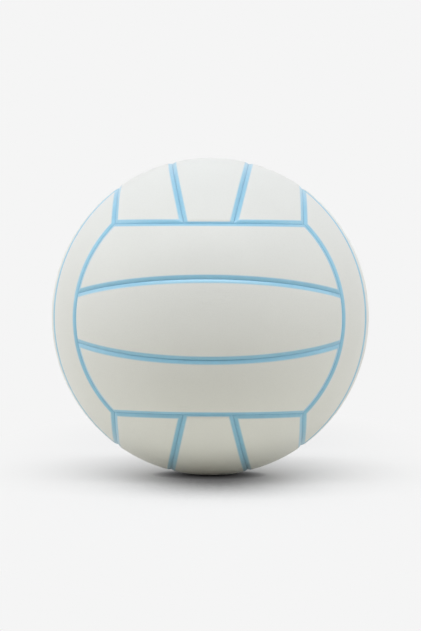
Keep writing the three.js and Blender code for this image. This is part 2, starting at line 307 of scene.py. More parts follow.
# Each face's way out, the way across its strips, and the strips' names
faces = {
    "front": ((0, -1, 0), (0, 0, 1), ("lower", "middle", "upper")),
    "back": ((0, 1, 0), (0, 0, 1), ("lower", "middle", "upper")),
    "left": ((-1, 0, 0), (0, 1, 0), ("front", "middle", "back")),
    "right": ((1, 0, 0), (0, 1, 0), ("front", "middle", "back")),
    "top": ((0, 0, 1), (1, 0, 0), ("left", "middle", "right")),
    "bottom": ((0, 0, -1), (1, 0, 0), ("left", "middle", "right")),
}
valvedStrip = "back_middle"


def faceAxes(out, across):
    return np.array([np.cross(out, across), out, across], float)


def makeStrips():
    strips = []
    for face, (out, across, names) in faces.items():
        for k, name in enumerate(names):
            strips.append({
                "name": f"{face}_{name}",
                "axes": faceAxes(out, across),
                "lower": faceSeams[k],
                "upper": faceSeams[k + 1],
                "isMiddle": k == 1,
            })
    return strips


def movedSeam(seam, distance):
    offset, slope = seam
    length = math.hypot(1, slope)
    return math.sin(math.asin(offset / length) + distance / ball["radius"]) * length, slope


# Points of a strip on the unit ball, in its face's axes, with its four edges drawn in by an inset.
# Places run from -1 to 1 along the strip, and shares from 0 to 1 across it.
def stripPoints(strip, places, shares, inset):
    lowOffset, lowSlope = movedSeam(strip["lower"], inset)
    highOffset, highSlope = movedSeam(strip["upper"], -inset)
    level = math.sin(math.asin(seamLevel) + inset / ball["radius"])
    offset = lowOffset + (highOffset - lowOffset) * shares
    slope = lowSlope + (highSlope - lowSlope) * shares
    endAcross = offset + slope * level
    angle = places * np.arctan2(np.sqrt(1 - level**2 - endAcross**2), level)
    # how far out the line in this direction meets the ball, from a quadratic equation
    rise = slope * np.cos(angle)
    square, linear = 1 + rise**2, offset * rise
    reach = (-linear + np.sqrt(linear**2 - square * (offset**2 - 1))) / square
    return np.stack([reach * np.sin(angle), reach * np.cos(angle), offset + rise * reach], axis=-1)


# Distances over the surface to a strip's end, lower and upper seams
def seamDistances(strip, points):
    def fromSeam(seam):
        offset, slope = seam
        length = math.hypot(1, slope)
        return np.arcsin((points[..., 2] - slope * points[..., 1]) / length) - math.asin(offset / length)

    ends = np.arcsin(points[..., 1]) - math.asin(seamLevel)
    return np.stack([ends, fromSeam(strip["lower"]), -fromSeam(strip["upper"])]) * ball["radius"]


def softLeast(distances, blend):
    least = distances.min(axis=0)
    return least - blend * np.log(np.exp((least - distances) / blend).sum(axis=0))


# Mesh helpers
def newPiece(name, vertices, polygons):
    mesh = bpy.data.meshes.new(name)
    mesh.from_pydata(vertices.tolist(), [], polygons)
    mesh.validate()
    piece = bpy.data.objects.new(name, mesh)
    bpy.context.scene.collection.objects.link(piece)
    return piece


def storeValues(piece, name, values):
    stored = piece.data.attributes.new(name, "FLOAT", "POINT")
    stored.data.foreach_set("value", np.asarray(values, np.float32))


def quads(*corners):
    return np.stack([corner.ravel() for corner in corners], axis=1)


# A piece's finishes and smooth faces, and the node that it stands for
def complete(piece, node, materials, sharpAngle):
    for name in materials:
        piece.data.materials.append(finishes[name])
    piece.data.shade_smooth()
    piece.data.set_sharp_from_angle(angle=math.radians(sharpAngle))
    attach(piece, "root")
    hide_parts(node)


# Meshes of the covers and pads
net = {
    "fine": 0.0005,    # the mesh's step at a strip's edges
    "coarse": 0.0022,  # and in its middle
    "growth": 1.22,
}
bend = 1 - math.sqrt(0.5)  # how far in a rounded edge's middle ring lies, as a share of its radius


# Shares from 0 to 1, close together at both ends and wider apart between them
def gradedShares(length):
    steps = []
    while sum(steps) < length / 2:
        steps.append(min(net["fine"] * net["growth"] ** len(steps), net["coarse"]))
    half = np.cumsum([0] + steps) / sum(steps) / 2
    return np.concatenate([half, 1 - half[-2::-1]])


def stripNet(strip):
    length = 2 * math.acos(seamLevel) * ball["radius"]
    highest = math.asin(strip["upper"][0] + strip["upper"][1])
    lowest = math.asin(strip["lower"][0] + strip["lower"][1])
    width = (highest - lowest) * ball["radius"]
    return np.meshgrid(2 * gradedShares(length) - 1, gradedShares(width), indexing="ij")


def edgeOf(grid):
    return np.concatenate([grid[0, :-1], grid[:-1, -1], grid[-1, :0:-1], grid[:0:-1, 0]])


# A closed panel from an outer net, rings round its edge and an inner net, each an inset from the seams
# with a radius, which may be a function of the points on the unit ball. The second material starts
# behind the ring numbered backFrom.
def panel(name, strip, outer, rings, inner, backFrom=None):
    places, shares = stripNet(strip)

    def placed(ring, places, shares):
        inset, level = ring
        points = stripPoints(strip, places, shares, inset)
        return points * (level(points)[..., None] if callable(level) else level)

    nets = [placed(ring, places, shares).reshape(-1, 3) for ring in (outer, inner)]
    loops = [placed(ring, edgeOf(places), edgeOf(shares)) for ring in rings]
    front = np.arange(places.size).reshape(places.shape)
    edge = places.size + np.arange(len(rings) * len(loops[0])).reshape(len(rings), -1)
    back = front + places.size + edge.size
    levels = [edgeOf(front), *edge, edgeOf(back)]
    polygons = [quads(front[:-1, :-1], front[:-1, 1:], front[1:, 1:], front[1:, :-1])]
    for above, below in zip(levels, levels[1:]):
        polygons.append(quads(above, below, np.roll(below, -1), np.roll(above, -1)))
    polygons.append(quads(back[:-1, :-1], back[1:, :-1], back[1:, 1:], back[:-1, 1:]))
    vertices = np.concatenate([nets[0], *loops, nets[1]]) @ strip["axes"]
    piece = newPiece(name, vertices, np.concatenate(polygons).tolist())
    if backFrom is not None:
        sides = [np.full(len(made), int(k > backFrom)) for k, made in enumerate(polygons)]
        piece.data.polygons.foreach_set("material_index", np.concatenate(sides))
    return piece


# Pieces turned about the Y axis
turning = {
    "sides": 96,
    "roundSteps": 5,
    "samePlace": 1e-7,  # points closer than this are merged
}


# A closed profile from corners of (distance from the axis, y) with a rounding where they have one
def roundedProfile(corners):
    rounded = []
    for k, (radius, y, *rounding) in enumerate(corners):
        corner = np.array([radius, y])
        if not rounding:
            rounded.append(corner)
            continue
        before = np.array(corners[k - 1][:2]) - corner
        after = np.array(corners[(k + 1) % len(corners)][:2]) - corner
        before, after = before / np.linalg.norm(before), after / np.linalg.norm(after)
        for step in range(turning["roundSteps"] + 1):
            share = step / turning["roundSteps"]
            rounded.append(corner + rounding[0] * ((1 - share) ** 2 * before + share**2 * after))
    return rounded


def onBall(level, fromAxis, *rounding):
    return fromAxis, math.sqrt(level**2 - fromAxis**2), *rounding


# An arc of a ball round the origin, which ends on the axis where it gets no second radius
def ballArc(level, steps, fromRadius, toRadius=None):
    start = math.asin(fromRadius / level)
    finish = math.asin(toRadius / level) if toRadius else math.pi
    angles = np.linspace(start, finish, steps)
    return [(level * math.sin(angle), level * math.cos(angle)) for angle in angles]


def faceOutwards(piece, merge=False):
    work = bmesh.new()
    work.from_mesh(piece.data)
    if merge:
        bmesh.ops.remove_doubles(work, verts=work.verts, dist=turning["samePlace"])
        bmesh.ops.dissolve_degenerate(work, edges=work.edges, dist=turning["samePlace"])
    bmesh.ops.recalc_face_normals(work, faces=work.faces)
    work.to_mesh(piece.data)
    work.free()


def turned(name, profile, sides=turning["sides"]):
    profile = np.array(profile)
    angles = np.linspace(0, 2 * math.pi, sides, endpoint=False)
    radius, y = profile[:, 0, None], profile[:, 1, None]
    level = np.broadcast_to(y, (len(profile), sides))
    vertices = np.stack([radius * np.cos(angles), level, radius * np.sin(angles)], axis=-1)
    index = np.arange(len(profile) * sides).reshape(len(profile), sides)
    nextRing = np.roll(index, -1, axis=0)
    polygons = quads(index, nextRing, np.roll(nextRing, -1, axis=1), np.roll(index, -1, axis=1))
    piece = newPiece(name, vertices.reshape(-1, 3), polygons.tolist())
    faceOutwards(piece, merge=True)
    return piece


def cutAway(piece, cutter):
    cut = piece.modifiers.new("cut", "BOOLEAN")
    cut.operation = "DIFFERENCE"
    cut.solver = "EXACT"
    cut.object = cutter
    view = bpy.context.evaluated_depsgraph_get()
    piece.data = bpy.data.meshes.new_from_object(piece.evaluated_get(view))
    piece.modifiers.clear()
    bpy.data.objects.remove(cutter)


# Cover panels
cover = {
    "thickness": 0.001,
    "grooveDepth": 0.0008,
    "rollPower": 1.8,       # how late the slope steepens towards the seam
    "rollReach": 0.0029,    # where the slope starts, from the seam
    "seamHalfGap": 0.00003,
    "lipRound": 0.0001,
    "crownDepth": 0.0001,   # the panel's soft fall towards its seams
    "crownReach": 0.004,
    "cornerBlend": 0.0003,
    "foldDepth": 0.0042,    # how far in the folded edge reaches
    "foldRound": 0.0003,
    "edgeRings": 20,        # mesh rings down a panel's edge
    "edgeReach": 0.0034,
    "holeRadius": 0.0041,   # the valve's hole
    "holeRound": 0.00015,
    "dimpleDepth": 0.00025,
    "dimpleReach": 0.005,
    "sharpAngle": 50,
}
skin = {
    "white": (0.775, 0.785, 0.765, 1),
    "toneSize": 0.035,
    "toneChange": 0.035,
    "print": (0.26, 0.56, 0.755, 1),
    "printToneSize": 0.004,
    "printToneChange": 0.1,
    "printWidth": 0.0026,       # from the seam
    "endPrintWidth": 0.0011,    # on a middle strip's ends
    "printEdge": 0.00055,       # the print's soft edge
    "printWander": 0.00012,
    "printWanderScale": 900.0,
    "printCorner": 0.00012,     # how round the print's inside corners are
    "printGloss": 0.15,         # how much smoother the print is
    "printCoat": 0.8,
    "paintedSeamShade": (0.09, 0.37, 0.62, 1),  # painted shade down in a seam's crease, a deeper blue than the print
    "paintedSeamShadeReach": 0.0005,
    "paintedSeamShadeShare": 0.42,
    "rubs": (0.60, 0.60, 0.57, 1),
    "rubSize": 0.03,
    "rubSpread": 0.35,
    "rubShare": 0.12,
    "rubGloss": 0.08,
    "grainSize": 0.00055,
    "grainWander": 0.8,
    "grainDepth": 0.000012,
    "pitShare": 0.08,           # how much of the rubs' colour lies in the grain's pits
    "pitRoughness": 0.1,
    "roughness": 0.5,
    "shader": {
        "Specular IOR Level": 0.4,
        "Sheen Weight": 0.32,
        "Sheen Roughness": 0.3,
        "Coat Roughness": 0.38,
    },
}
backing = {
    "cloth": (0.72, 0.71, 0.67, 1),
    "toneSize": 0.01,
    "toneChange": 0.08,
    "gaps": (0.35, 0.34, 0.31, 1),
    "gapShare": 0.35,
    "pitch": 0.0005,
    "weaveDepth": 0.00012,
    "shader": {"Roughness": 0.92, "Specular IOR Level": 0.2, "Sheen Weight": 0.15},
}


def makeSkinFinish():
    made, tree, shader = newFinish("coverSkin", skin["shader"])
    wander = noiseNode(tree, objectPlace(tree), skin["printWanderScale"], Detail=2.0).outputs["Fac"]
    sway = mathNode(tree, "MULTIPLY", mathNode(tree, "SUBTRACT", wander, 0.5), skin["printWander"])
    toPrint = mathNode(tree, "ADD", attribute(tree, "printDistance"), sway)
    low, high = skin["printWidth"] - skin["printEdge"], skin["printWidth"] + skin["printEdge"]
    printed = spread(tree, toPrint, low, high, 1.0, 0.0, smooth=True)
    rubs = useGroup(tree, rubsGroup, {"Size": skin["rubSize"], "Share": skin["rubSpread"]})["Mask"]
    grain = useGroup(tree, grainGroup, {"Size": skin["grainSize"], "Wander": skin["grainWander"]})

    white = toned(tree, skin["white"], skin["toneSize"], skin["toneChange"])
    white = mixColours(tree, mathNode(tree, "MULTIPLY", rubs, skin["rubShare"]), white, skin["rubs"])
    ink = toned(tree, skin["print"], skin["printToneSize"], skin["printToneChange"])
    colour = mixColours(tree, printed, white, ink)
    # painted shade: the colour darkens to a deeper blue towards the bottom of each seam
    seamShadeMask = spread(tree, attribute(tree, "seamDistance"), 0.0, skin["paintedSeamShadeReach"],
                      skin["paintedSeamShadeShare"], 0.0, smooth=True)
    colour = mixColours(tree, seamShadeMask, colour, skin["paintedSeamShade"])
    pits = mathNode(tree, "MULTIPLY", grain["Pits"], skin["pitShare"])
    feed(tree, shader["Base Color"], mixColours(tree, pits, colour, skin["rubs"]))

    pits = mathNode(tree, "MULTIPLY", grain["Pits"], skin["pitRoughness"])
    rough = mathNode(tree, "ADD", pits, skin["roughness"])
    rough = mathNode(tree, "SUBTRACT", rough, mathNode(tree, "MULTIPLY", rubs, skin["rubGloss"]))
    rough = mathNode(tree, "SUBTRACT", rough, mathNode(tree, "MULTIPLY", printed, skin["printGloss"]))
    feed(tree, shader["Roughness"], rough)
    feed(tree, shader["Coat Weight"], mathNode(tree, "MULTIPLY", printed, skin["printCoat"]))
    feed(tree, shader["Normal"], makeBump(tree, grain["Height"], skin["grainDepth"]))
    return made


def makeBackingFinish():
    made, tree, shader = newFinish("coverBacking", backing["shader"])
    places = {"Along": attribute(tree, "stripAlong"), "Across": attribute(tree, "stripAcross")}
    cloth = useGroup(tree, weaveGroup, {**places, "Pitch": backing["pitch"]})
    colour = toned(tree, backing["cloth"], backing["toneSize"], backing["toneChange"])
    gaps = mathNode(tree, "MULTIPLY", cloth["Gaps"], backing["gapShare"])
    feed(tree, shader["Base Color"], mixColours(tree, gaps, colour, backing["gaps"]))
    feed(tree, shader["Normal"], makeBump(tree, cloth["Height"], backing["weaveDepth"]))
    return made


# What the two finishes read: distances to the seams, and places over the strip
def storeStripValues(piece, strip):
    points = np.zeros(len(piece.data.vertices) * 3, np.float32)
    piece.data.vertices.foreach_get("co", points)
    points = points.reshape(-1, 3).astype(float)
    points /= np.linalg.norm(points, axis=1)[:, None]
    own = points @ strip["axes"].T
    distances = seamDistances(strip, own)
    storeValues(piece, "seamDistance", distances.min(axis=0))
    if strip["isMiddle"]:
        distances[0] += skin["printWidth"] - skin["endPrintWidth"]
    storeValues(piece, "printDistance", softLeast(distances, skin["printCorner"]))
    storeValues(piece, "stripAlong", np.arctan2(own[:, 0], own[:, 1]) * ball["radius"])
    storeValues(piece, "stripAcross", np.arcsin(own[:, 2]) * ball["radius"])


def coverDepth(distance):
    share = np.clip(1 - distance / cover["rollReach"], 0, 1)
    roll = cover["grooveDepth"] * share ** cover["rollPower"]
    lip = np.clip(cover["lipRound"] - (distance - cover["seamHalfGap"]), 0, cover["lipRound"])
    lipDrop = cover["lipRound"] - np.sqrt(cover["lipRound"] ** 2 - lip**2)
    return roll + lipDrop + cover["crownDepth"] * np.exp(-distance / cover["crownReach"])


def cutValveHole(piece):
    radius, ease, wall = cover["holeRadius"], cover["holeRound"], cover["thickness"]
    top = ball["radius"] - cover["dimpleDepth"]
    cutAway(piece, turned("valveCutter", [
        (0, top - 3 * wall),
        (radius, top - 3 * wall),
        (radius, top - ease),
        (radius + ease * bend, top - ease * bend),
        (radius + ease, top),
        (radius + ease * 3, top + wall),
        (0, top + wall),
    ]))


def makeCover(strip):
    def surface(points):
        distance = softLeast(seamDistances(strip, points), cover["cornerBlend"])
        depth = coverDepth(np.maximum(distance, cover["seamHalfGap"]))
        if strip["name"] == valvedStrip:
            fromValve = np.linalg.norm(points[..., [0, 2]], axis=-1) * ball["radius"]
            depth = depth + cover["dimpleDepth"] * np.exp(-((fromValve / cover["dimpleReach"]) ** 2))
        return ball["radius"] - depth

    gap, fold = cover["seamHalfGap"], cover["foldRound"]
    inside = gap + cover["thickness"]
    foldLevel = ball["radius"] - cover["foldDepth"]
    innerLevel = ball["radius"] - cover["thickness"]
    steps = np.linspace(1, 0, cover["edgeRings"]) ** 2
    printedSide = [(gap + (cover["edgeReach"] - gap) * step, surface) for step in steps[1:]]
    printedSide += [
        (gap, ball["radius"] - coverDepth(gap) - 2 * cover["lipRound"]),
        (gap, foldLevel + fold),
        (gap + fold * bend, foldLevel + fold * bend),
        (gap + fold, foldLevel),
    ]
    clothSide = [
        (inside - fold, foldLevel),
        (inside - fold * bend, foldLevel + fold * bend),
        (inside, foldLevel + fold),
        (inside, innerLevel - fold),
        (inside + fold * bend, innerLevel - fold * bend),
    ]
    piece = panel("cover_" + strip["name"] + "_skin", strip, (cover["edgeReach"], surface),
                  printedSide + clothSide, (inside + fold, innerLevel), backFrom=len(printedSide))
    if strip["name"] == valvedStrip:
        cutValveHole(piece)
    storeStripValues(piece, strip)
    complete(piece, "cover_" + strip["name"], ["skin", "backing"], cover["sharpAngle"])


# Foam pads
foam = {
    "thickness": 0.0039,
    "gap": 0.0003,       # to the cover over it
    "sideGap": 0.00045,  # and to its folded edges
    "edgeRound": 0.0006,
    "seatSteps": 12,     # of the cut over the valve's patch
    "sharpAngle": 50,
    "colour": (0.80, 0.76, 0.64, 1),
    "toneSize": 0.02,
    "toneChange": 0.08,
    "cell": (0.58, 0.53, 0.41, 1),
    "cellSize": 0.0009,
    "cellDepth": 0.0002,
    "cells": ((1.0, 0.55, 0.6), (2.3, 0.5, 0.3)),  # how much finer, how wide in cells, how dark
    "cellMiddle": 0.1,
    "shader": {"Roughness": 0.95, "Specular IOR Level": 0.15},
}


def makeFoamFinish():
    made, tree, shader = newFinish("padFoam", foam["shader"])
    place = objectPlace(tree)
    openCells = []
    for finer, reach, share in foam["cells"]:
        inputs = {"Vector": place, "Scale": finer / foam["cellSize"]}
        fromMiddle = addNode(tree, "TexVoronoi", inputs, feature="F1").outputs["Distance"]
        pores = spread(tree, fromMiddle, reach, foam["cellMiddle"], smooth=True)
        openCells.append(mathNode(tree, "MULTIPLY", pores, share))
    pitted = mathNode(tree, "ADD", *openCells)
    colour = toned(tree, foam["colour"], foam["toneSize"], foam["toneChange"])
    feed(tree, shader["Base Color"], mixColours(tree, pitted, colour, foam["cell"]))
    height = mathNode(tree, "SUBTRACT", 1.0, pitted)
    feed(tree, shader["Normal"], makeBump(tree, height, foam["cellDepth"]))
    return made


# The place for the valve's patch, and the hole over it for the valve's neck
def cutValveSeat(piece, innerLevel):
    seat = bladder["outerLevel"] + patch["thickness"] + 2 * patch["gap"]
    seatRadius = patch["outerRadius"] + patch["gap"]
    below = innerLevel - foam["thickness"]
    hole = cover["holeRadius"]
    cutAway(piece, turned("foamCutter", [
        (0, below),
        (seatRadius, below),
        *reversed(ballArc(seat, foam["seatSteps"], hole, seatRadius)),
        (hole, ball["radius"]),
        (0, ball["radius"]),
    ]))


def makeFoamPad(strip):
    inset = cover["thickness"] + foam["sideGap"]
    outerLevel = ball["radius"] - cover["thickness"] - foam["gap"]
    innerLevel = outerLevel - foam["thickness"]
    turn = foam["edgeRound"]
    rings = [
        (inset + turn * bend, outerLevel - turn * bend),
        (inset, outerLevel - turn),
        (inset, innerLevel + turn),
        (inset + turn * bend, innerLevel + turn * bend),
    ]
    outer, inner = (inset + turn, outerLevel), (inset + turn, innerLevel)
    piece = panel("foam_" + strip["name"] + "_pad", strip, outer, rings, inner)
    if strip["name"] == valvedStrip:
        cutValveSeat(piece, innerLevel)
    complete(piece, "foam_" + strip["name"], ["foam"], foam["sharpAngle"])


# Sewing thread, two plies twisted together under the folded edges
thread = {
    "width": 0.001,
    "thickness": 0.0007,
    "twist": 0.0026,         # one turn of its plies
    "plyDepth": 0.12,        # share of the thread's own size
    "gap": 0.0003,           # to the next thread at a corner
    "step": 0.0007,
    "sides": 12,
    "sharpAngle": 60,
    "colour": (0.42, 0.60, 0.74, 1),
    "shade": (0.20, 0.32, 0.42, 1),
    "grooveShade": 0.7,      # share of the shade between the plies
    "fibreShade": 0.3,
    "fibres": (900.0, 14.0, 1.0),  # the noise's scale along the thread and round it
    "fibreDepth": 0.00004,
    "shader": {"Roughness": 0.62, "Sheen Weight": 0.2, "Specular IOR Level": 0.35},
}


def makeThreadFinish():
    made, tree, shader = newFinish("waxedThread", thread["shader"])
    places = {"X": attribute(tree, "threadAlong"), "Y": attribute(tree, "threadRound")}
    over = addNode(tree, "CombineXYZ", places).outputs[0]
    stretched = vectorNode(tree, "MULTIPLY", over, thread["fibres"])
    fibres = noiseNode(tree, stretched, 1.0, Detail=3.0).outputs["Fac"]
    groove = mathNode(tree, "SUBTRACT", 1.0, attribute(tree, "plyHeight"))
    colour = thread["colour"]
    for mask, share in ((groove, thread["grooveShade"]), (fibres, thread["fibreShade"])):
        colour = mixColours(tree, mathNode(tree, "MULTIPLY", mask, share), colour, thread["shade"])
    feed(tree, shader["Base Color"], colour)
    feed(tree, shader["Normal"], makeBump(tree, fibres, thread["fibreDepth"]))
    return made


# One thread along a path, with its points numbered from first, and the values that its finish reads
def threadTube(path, first):
    steps = np.diff(path, axis=0, prepend=path[:1])
    along = np.cumsum(np.linalg.norm(steps, axis=1))
    up = path / np.linalg.norm(path, axis=1)[:, None]
    left = np.cross(up, np.gradient(path, axis=0))
    left /= np.linalg.norm(left, axis=1)[:, None]
    count = thread["sides"]
    angle = np.linspace(0, 2 * math.pi, count, endpoint=False)
    ply = np.cos(2 * (angle[None, :] - 2 * math.pi * along[:, None] / thread["twist"]))
    size = 1 - thread["plyDepth"] * (1 - ply) / 2
    sideways = left[:, None, :] * (np.cos(angle)[None, :] * size * thread["width"] / 2)[..., None]
    upwards = up[:, None, :] * (np.sin(angle)[None, :] * size * thread["thickness"] / 2)[..., None]
    rings = path[:, None, :] + sideways + upwards
    index = first + np.arange(len(path) * count).reshape(len(path), count)
    wrapped = np.roll(index, -1, axis=1)
    sides = quads(index[:-1], wrapped[:-1], wrapped[1:], index[1:]).tolist()
    caps = [index[0][::-1].tolist(), index[-1].tolist()]
    values = {
        "threadAlong": np.repeat(along, count),
        "threadRound": np.tile(angle / (2 * math.pi), len(path)),
        "plyHeight": (ply * 0.5 + 0.5).ravel(),
    }
    return rings.reshape(-1, 3), sides + caps, values


# A face's threads in its own axes: the two seams between its strips, then the two at their ends
def threadPaths():
    level = ball["radius"] - cover["thickness"] - foam["gap"] - foam["thickness"] + thread["thickness"] / 2
    steps = int(2 * math.acos(seamLevel) * ball["radius"] / thread["step"])
    reach = 1 - thread["width"] / 2 / ball["radius"]
    paths = []
    for seam in faceSeams[1:3]:
        strip = {"lower": seam, "upper": seam}
        paths.append(stripPoints(strip, np.linspace(-reach, reach, steps), np.zeros(steps), 0) * level)
    # an end seam stops where three threads meet at 120 degrees
    cornerGap = (thread["gap"] + thread["width"] / 2) / 2 / math.sin(math.pi / 3)
    reach = math.pi / 4 - cornerGap / (ball["radius"] * seamCircle)
    angles = np.linspace(-reach, reach, int(2 * reach * seamCircle * ball["radius"] / thread["step"]))
    for side in (-1, 1):
        points = np.stack([side * seamCircle * np.cos(angles), np.full(len(angles), seamLevel),
                           seamCircle * np.sin(angles)], axis=1)
        paths.append(points * level)
    return paths


def makeThread(face):
    out, across, _ = faces[face]
    vertices, polygons, values = [], [], []
    for path in threadPaths():
        tube = threadTube(path, sum(len(found) for found in vertices))
        for store, found in zip((vertices, polygons, values), tube):
            store.append(found)
    vertices = np.concatenate(vertices) @ faceAxes(out, across)
    piece = newPiece(f"thread_{face}_plies", vertices, sum(polygons, []))
    for name in values[0]:
        storeValues(piece, name, np.concatenate([found[name] for found in values]))
    faceOutwards(piece)
    complete(piece, "thread_" + face, ["thread"], thread["sharpAngle"])


# Rubber, dusted with talc, as the bladder, its patch and the valve have it
rubber = {
    "grainWander": 0.6,
    "rubSize": 40,         # in grains
    "rubShare": 0.5,
    "toneSize": 30,        # in grains
    "toneChange": 0.2,
    "dustRoughness": 0.3,
    "shader": {"Specular IOR Level": 0.45},
}


def makeRubberFinish(name, look):
    made, tree, shader = newFinish(name, rubber["shader"])
    size, dustShare = look["grainSize"], look["dustShare"]
    grain = useGroup(tree, grainGroup, {"Size": size, "Wander": rubber["grainWander"]})
    rubs = useGroup(tree, rubsGroup, {"Size": size * rubber["rubSize"], "Share": dustShare})["Mask"]
    colour = toned(tree, look["colour"], size * rubber["toneSize"], rubber["toneChange"])
    powdered = mathNode(tree, "ADD", mathNode(tree, "MULTIPLY", rubs, rubber["rubShare"]),
                        mathNode(tree, "MULTIPLY", grain["Pits"], dustShare))
    feed(tree, shader["Base Color"], mixColours(tree, powdered, colour, look["dust"]))
    rough = mathNode(tree, "MULTIPLY", powdered, rubber["dustRoughness"])
    feed(tree, shader["Roughness"], mathNode(tree, "ADD", rough, look["roughness"]))
    feed(tree, shader["Normal"], makeBump(tree, grain["Height"], look["grainDepth"]))
    return made


# Bladder
bladder = {
    "outerLevel": 0.0988614,
    "wall": 0.0007,
    "arcSteps": 90,
    "sides": 128,
    "sharpAngle": 50,
    "look": {
        "colour": (0.03, 0.03, 0.033, 1),
        "dust": (0.22, 0.22, 0.21, 1),
        "dustShare": 0.35,
        "roughness": 0.5,
        "grainSize": 0.0009,
        "grainDepth": 0.00003,
    },
}


def makeBladder():
    outside, inside = (ballArc(level, bladder["arcSteps"], cover["holeRadius"])
                       for level in (bladder["outerLevel"], bladder["outerLevel"] - bladder["wall"]))
    piece = turned("bladder_skin", outside + inside[::-1], bladder["sides"])
    complete(piece, "bladder", ["bladder"], bladder["sharpAngle"])


# Valve patch
patch = {
    "outerRadius": 0.014,
    "thickness": 0.0008,
    "gap": 0.0003,
    "feather": 0.0006,    # how far its thin rim reaches in
    "rimShare": 0.6,      # of the thickness, just inside the rim
    "rimRound": 0.0001,
    "arcSteps": 12,
    "sharpAngle": 40,
    "look": {
        "colour": (0.07, 0.07, 0.075, 1),
        "dust": (0.25, 0.25, 0.24, 1),
        "dustShare": 0.3,
        "roughness": 0.6,
        "grainSize": 0.0006,
        "grainDepth": 0.00003,
    },
}


def makePatch():
    inner = bladder["outerLevel"] + patch["gap"]
    outer = inner + patch["thickness"]
    hole, edge, steps = cover["holeRadius"], patch["outerRadius"], patch["arcSteps"]
    top = ballArc(outer, steps, hole, edge - patch["feather"])
    rim = onBall(inner + patch["thickness"] * patch["rimShare"], edge - patch["rimRound"])
    piece = turned("valve_patch_ring", [*top, rim, *reversed(ballArc(inner, steps, hole, edge))])
    complete(piece, "valve_patch", ["patch"], patch["sharpAngle"])


# Valve housing
housing = {
    "faceDrop": 0.0005,       # its face under the ball's own surface
    "neckRadius": 0.0038,
    "length": 0.02,
    "bossWall": 0.0024,
    "baseRadius": 0.012,
    "baseThickness": 0.0016,
    "baseRim": 0.0008,
    "gap": 0.0003,            # to the core and to the bladder
    "sharpAngle": 35,
    "look": {
        "colour": (0.045, 0.047, 0.052, 1),
        "dust": (0.16, 0.17, 0.18, 1),
        "dustShare": 0.15,
        "roughness": 0.42,
        "grainSize": 0.0003,
        "grainDepth": 0.000008,
    },
}

# Valve core
core = {
    "radius": 0.002,
    "recess": 0.0004,
    "tail": 0.0015,
    "collarRadius": 0.0028,
    "collarThickness": 0.002,
    "collarDepth": 0.011,
    "needleRadius": 0.0006,
    "needleDepth": 0.008,
    "mouthRadius": 0.001,
    "mouthDepth": 0.0008,
    "sharpAngle": 35,
    "look": {
        "colour": (0.42, 0.44, 0.46, 1),
        "dust": (0.6, 0.6, 0.6, 1),
        "dustShare": 0.1,
        "roughness": 0.48,
        "grainSize": 0.00025,
        "grainDepth": 0.000006,
    },
}


# The housing's face and foot, the core's face, and its collar's top and bottom
def valveLevels():
    face = ball["radius"] - housing["faceDrop"]
    coreFace = face - core["recess"]
    collarTop = coreFace - core["collarDepth"]
    return face, face - housing["length"], coreFace, collarTop, collarTop - core["collarThickness"]


def makeHousing():
    gap, neck, baseEdge = housing["gap"], housing["neckRadius"], housing["baseRadius"]
    bore, collar = core["radius"] + gap, core["collarRadius"] + gap
    boss = bore + housing["bossWall"]
    face, foot, _, collarTop, collarBottom = valveLevels()
    base = bladder["outerLevel"] - bladder["wall"] - gap
    corners = [
        (bore, foot, 0.0003),
        (boss, foot, 0.0008),
        onBall(base - housing["baseThickness"], boss, 0.0008),
        onBall(base - housing["baseRim"], baseEdge, 0.0003),
        onBall(base, baseEdge, 0.0002),
        onBall(base, (neck + baseEdge) / 2),
        onBall(base, neck),
        (neck, face, 0.0003),
        (bore, face, 0.00025),
        (bore, collarTop + gap),
        (collar, collarTop + gap),
        (collar, collarBottom - gap),
        (bore, collarBottom - gap),
    ]
    piece = turned("valve_housing_rubber", roundedProfile(corners))
    complete(piece, "valve_housing", ["valve"], housing["sharpAngle"])


def makeCore():
    radius, collar, needle = core["radius"], core["collarRadius"], core["needleRadius"]
    _, foot, face, collarTop, collarBottom = valveLevels()
    corners = [
        (0, foot + core["tail"]),
        (radius, foot + core["tail"], 0.0005),
        (radius, collarBottom, 0.0002),
        (collar, collarBottom, 0.0003),
        (collar, collarTop, 0.0003),
        (radius, collarTop, 0.0002),
        (radius, face, 0.00035),
        (core["mouthRadius"], face, 0.0002),
        (needle, face - core["mouthDepth"], 0.0003),
        (needle, face - core["needleDepth"], 0.0002),
        (0, face - core["needleDepth"]),
    ]
    piece = turned("valve_core_plug", roundedProfile(corners))
    complete(piece, "valve_core", ["core"], core["sharpAngle"])


finishes = {
    "skin": makeSkinFinish(),
    "backing": makeBackingFinish(),
    "foam": makeFoamFinish(),
    "thread": makeThreadFinish(),
    "bladder": makeRubberFinish("bladderRubber", bladder["look"]),
    "patch": makeRubberFinish("patchRubber", patch["look"]),
    "valve": makeRubberFinish("valveRubber", housing["look"]),
    "core": makeRubberFinish("coreRubber", core["look"]),
}
print("finishes:", len(finishes))

strips = makeStrips()
for strip in strips:
    makeCover(strip)
print("covers:", len(strips))
for strip in strips:
    makeFoamPad(strip)
print("foam pads:", len(strips))
for face in faces:
    makeThread(face)
print("threads:", len(faces))
makeBladder()
makePatch()
makeHousing()
makeCore()
print("bladder and valve: ready")


